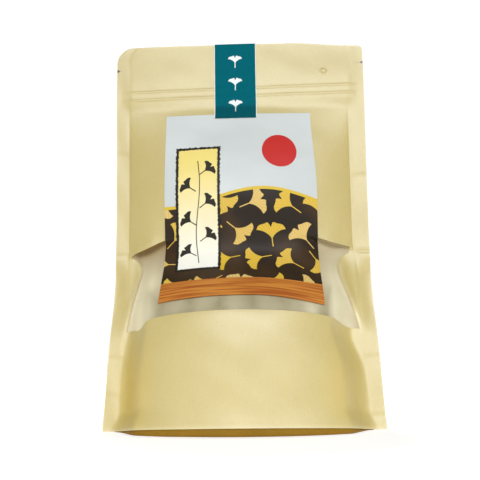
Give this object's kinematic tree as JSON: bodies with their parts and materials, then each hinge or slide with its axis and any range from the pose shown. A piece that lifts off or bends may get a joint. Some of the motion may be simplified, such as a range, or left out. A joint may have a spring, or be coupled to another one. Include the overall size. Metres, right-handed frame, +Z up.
{
  "type": "stand-up pouch",
  "caption": "Kraft-paper stand-up pouch with a press zip, frosted window, printed label, folded seal strip and bottom gusset, filled with nuts.",
  "frame": {"origin": "on the ground under the middle of the pouch", "axes": "+Z up the pouch, -Y out of the front with the label, +X to the right of someone who faces the label"},
  "size_m": [0.161, 0.072, 0.2421],
  "materials": {
    "kraft_front": "matt laminated kraft paper",
    "kraft_back": "matt laminated kraft paper",
    "kraft_gusset": "matt laminated kraft paper, folded",
    "frosted_film": "frosted translucent film",
    "label_print": "gloss printed paper label",
    "strip_print": "satin printed paper",
    "zip_plastic": "milky polyethylene",
    "nut_shell": "dry smooth nut shell"
  },
  "bodies": {
    "root": {"front_panel": "kraft_front", "back_panel": "kraft_back", "bottom_gusset": "kraft_gusset", "window_film": "frosted_film", "front_label": "label_print", "seal_strip": "strip_print", "zip_track_front": "zip_plastic", "zip_track_back": "zip_plastic", "nut_fill": "nut_shell"}
  },
  "joints": []
}
